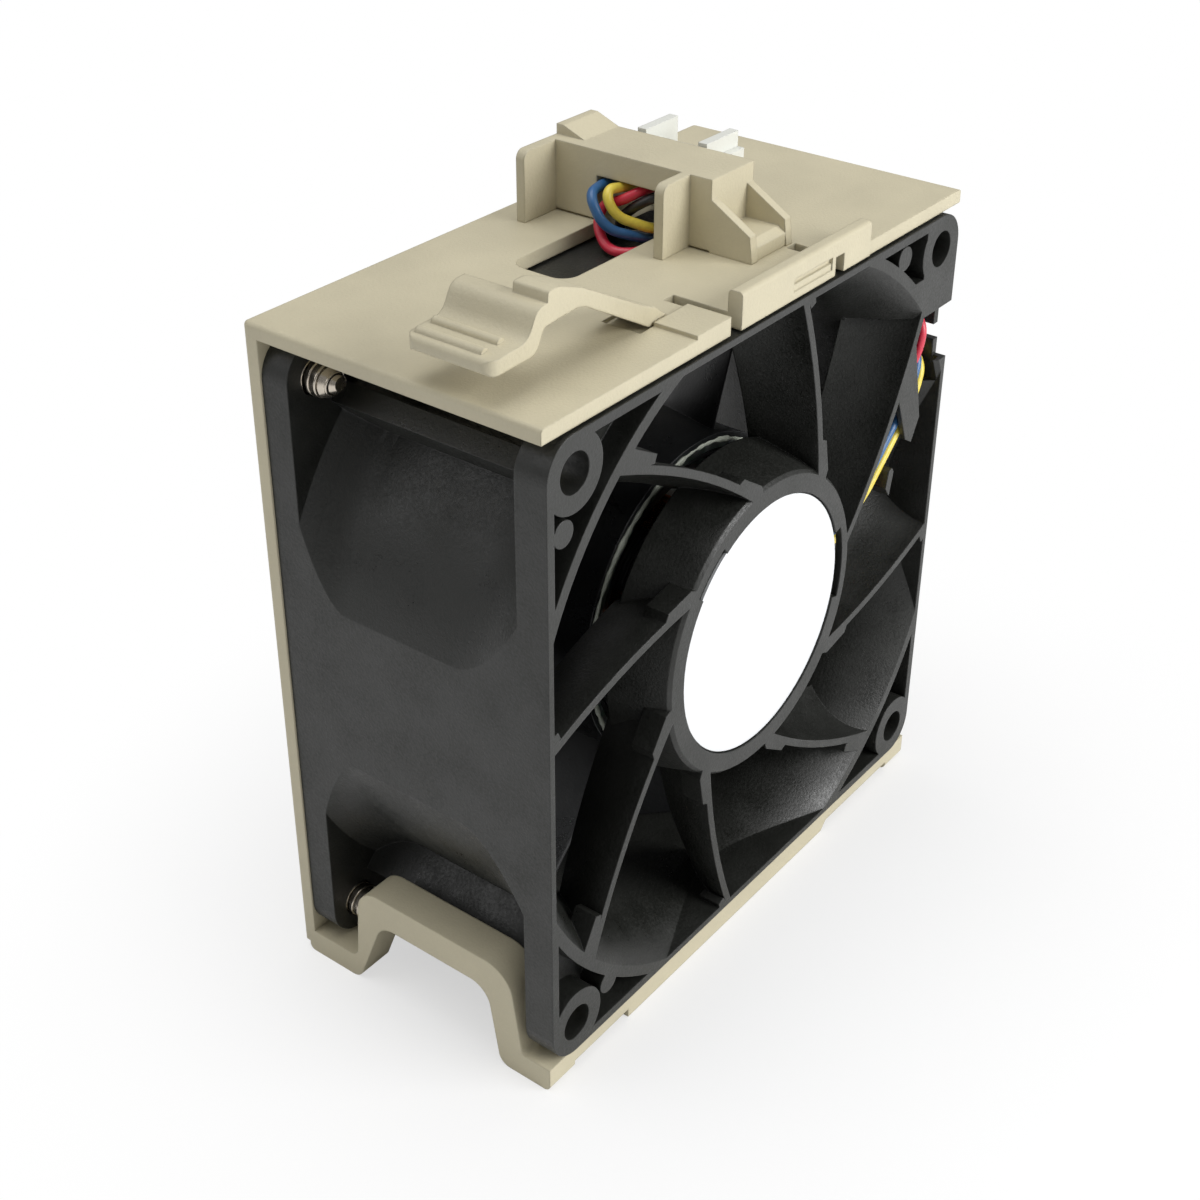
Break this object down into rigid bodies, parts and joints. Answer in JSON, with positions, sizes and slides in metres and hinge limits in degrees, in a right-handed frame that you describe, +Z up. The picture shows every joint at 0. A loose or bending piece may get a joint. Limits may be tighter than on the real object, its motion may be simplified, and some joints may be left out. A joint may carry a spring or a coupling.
{
  "type": "server fan module",
  "caption": "Axial fan with curved stator vanes in a moulded carrier with a sprung latch lever, a raised connector holder and coloured leads",
  "frame": {"origin": "on the rotor's axis, in the outlet face of the fan's frame", "axes": "X right as the outlet face is seen, Y back through the fan towards the intake, Z up towards the carrier's top plate"},
  "size_m": [0.0805, 0.0402, 0.0952],
  "materials": {
    "fan_plastic": "fine-textured black moulding",
    "impeller_plastic": "satin black moulding",
    "label_film": "white film, satin",
    "brass": "turned",
    "bearing_steel": "ground and polished",
    "yoke_steel": "drawn, zinc plated",
    "magnet": "bonded ferrite",
    "lamination_steel": "stamped laminations",
    "bobbin_plastic": "natural nylon",
    "copper_wire": "enamelled copper",
    "board_resin": "green solder mask",
    "component_resin": "black epoxy",
    "carrier_plastic": "fine-textured beige moulding",
    "connector_nylon": "natural white nylon",
    "terminal_metal": "tin plated",
    "screw_steel": "zinc plated",
    "lead_black": "flexible PVC",
    "lead_red": "flexible PVC",
    "lead_yellow": "flexible PVC",
    "lead_blue": "flexible PVC"
  },
  "bodies": {
    "module": {"fan_frame": "fan_plastic", "label_disc": "label_film", "bearing_tube": "brass", "bearing_outer_rings": "bearing_steel", "preload_washer": "bearing_steel", "stator_core": "lamination_steel", "stator_insulator": "bobbin_plastic", "stator_coils": "copper_wire", "driver_board": "board_resin", "board_parts": "component_resin", "carrier": "carrier_plastic", "connector_holder": "carrier_plastic", "connector_housing": "connector_nylon", "connector_terminals": "terminal_metal", "rear_screws": "screw_steel", "lead_black": "lead_black", "lead_red": "lead_red", "lead_yellow": "lead_yellow", "lead_blue": "lead_blue"},
    "rotor": {"impeller": "impeller_plastic", "rotor_yoke": "yoke_steel", "magnet_ring": "magnet", "shaft": "bearing_steel", "retaining_clip": "bearing_steel", "bearing_inner_rings": "bearing_steel", "bearing_balls": "bearing_steel"},
    "latch": {"latch_lever": "carrier_plastic"}
  },
  "joints": [
    {"name": "rotor_spin", "type": "hinge", "parent": "module", "child": "rotor", "pos_m": [0, 0.026, 0], "axis": [0, 1, 0], "continuous": true},
    {"name": "latch_press", "type": "hinge", "parent": "module", "child": "latch", "pos_m": [-0.0154, 0.00835, 0.0429], "axis": [0, -1, 0], "range_deg": [0, 6.5], "stiffness_Nm_per_rad": 1}
  ]
}
